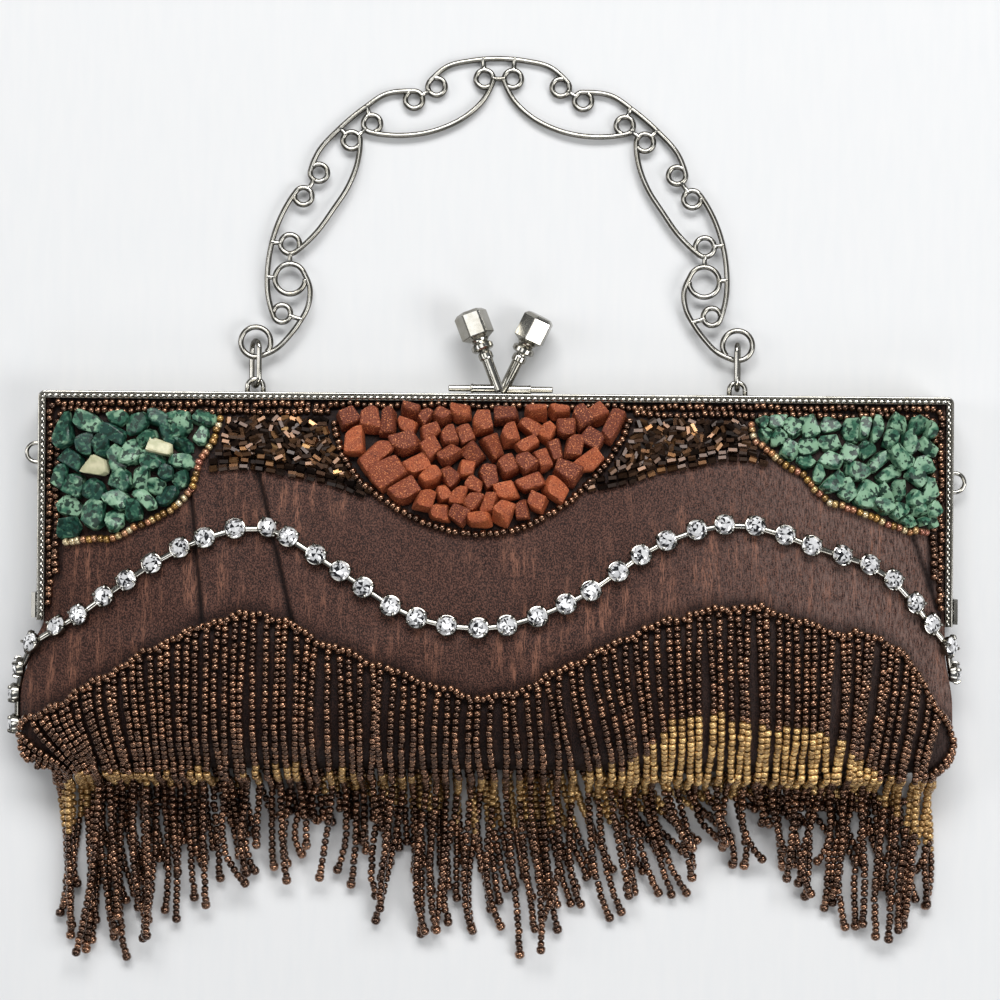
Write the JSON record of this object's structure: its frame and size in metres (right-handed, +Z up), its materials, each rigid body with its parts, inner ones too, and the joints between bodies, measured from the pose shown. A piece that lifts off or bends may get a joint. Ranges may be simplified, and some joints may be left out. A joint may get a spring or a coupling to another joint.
{
  "type": "beaded clutch",
  "caption": "Soft satin evening clutch on a hinged metal frame with kiss-lock posts and a scrolled wire handle, its front covered with stone chips, a cup chain and a beaded fringe.",
  "frame": {"origin": "on the flat of the pouch's back, on which the bag lies, midway across the frame", "axes": "+X across the bag to its right side, +Y from the fringe to the handle, +Z up out of the bag's front"},
  "size_m": [0.2297, 0.22, 0.0293],
  "materials": {
    "silver_metal": "polished nickel, warm, with darker recesses",
    "brown_satin": "dark brown satin with pale slub streaks and a soft sheen",
    "red_stone": "tumbled brick-red chips with a fine sparkle",
    "green_stone": "tumbled green chips with dark spots and pale patches",
    "crystal": "foil-backed clear stones in silver cups",
    "bronze_beads": "dark bronze metallic seed beads",
    "gold_beads": "amber gold lined seed beads"
  },
  "bodies": {
    "bag": {"frame_front": "silver_metal", "frame_back": "silver_metal", "hinge_plate_left": "silver_metal", "hinge_plate_right": "silver_metal", "clasp_post_front": "silver_metal", "clasp_post_back": "silver_metal", "staple_left": "silver_metal", "staple_right": "silver_metal", "side_loop_left": "silver_metal", "side_loop_right": "silver_metal", "link_left": "silver_metal", "link_right": "silver_metal", "pouch": "brown_satin", "stones_red": "red_stone", "stones_green_left": "green_stone", "stones_green_right": "green_stone", "rhinestone_chain": "crystal", "fringe": "bronze_beads"},
    "handle": {"handle": "silver_metal"}
  },
  "joints": [
    {"name": "handle_swing", "type": "hinge", "parent": "bag", "child": "handle", "pos_m": [0, 0.0484, 0.0029], "axis": [1, 0, 0], "range_deg": [-148, 130]}
  ]
}
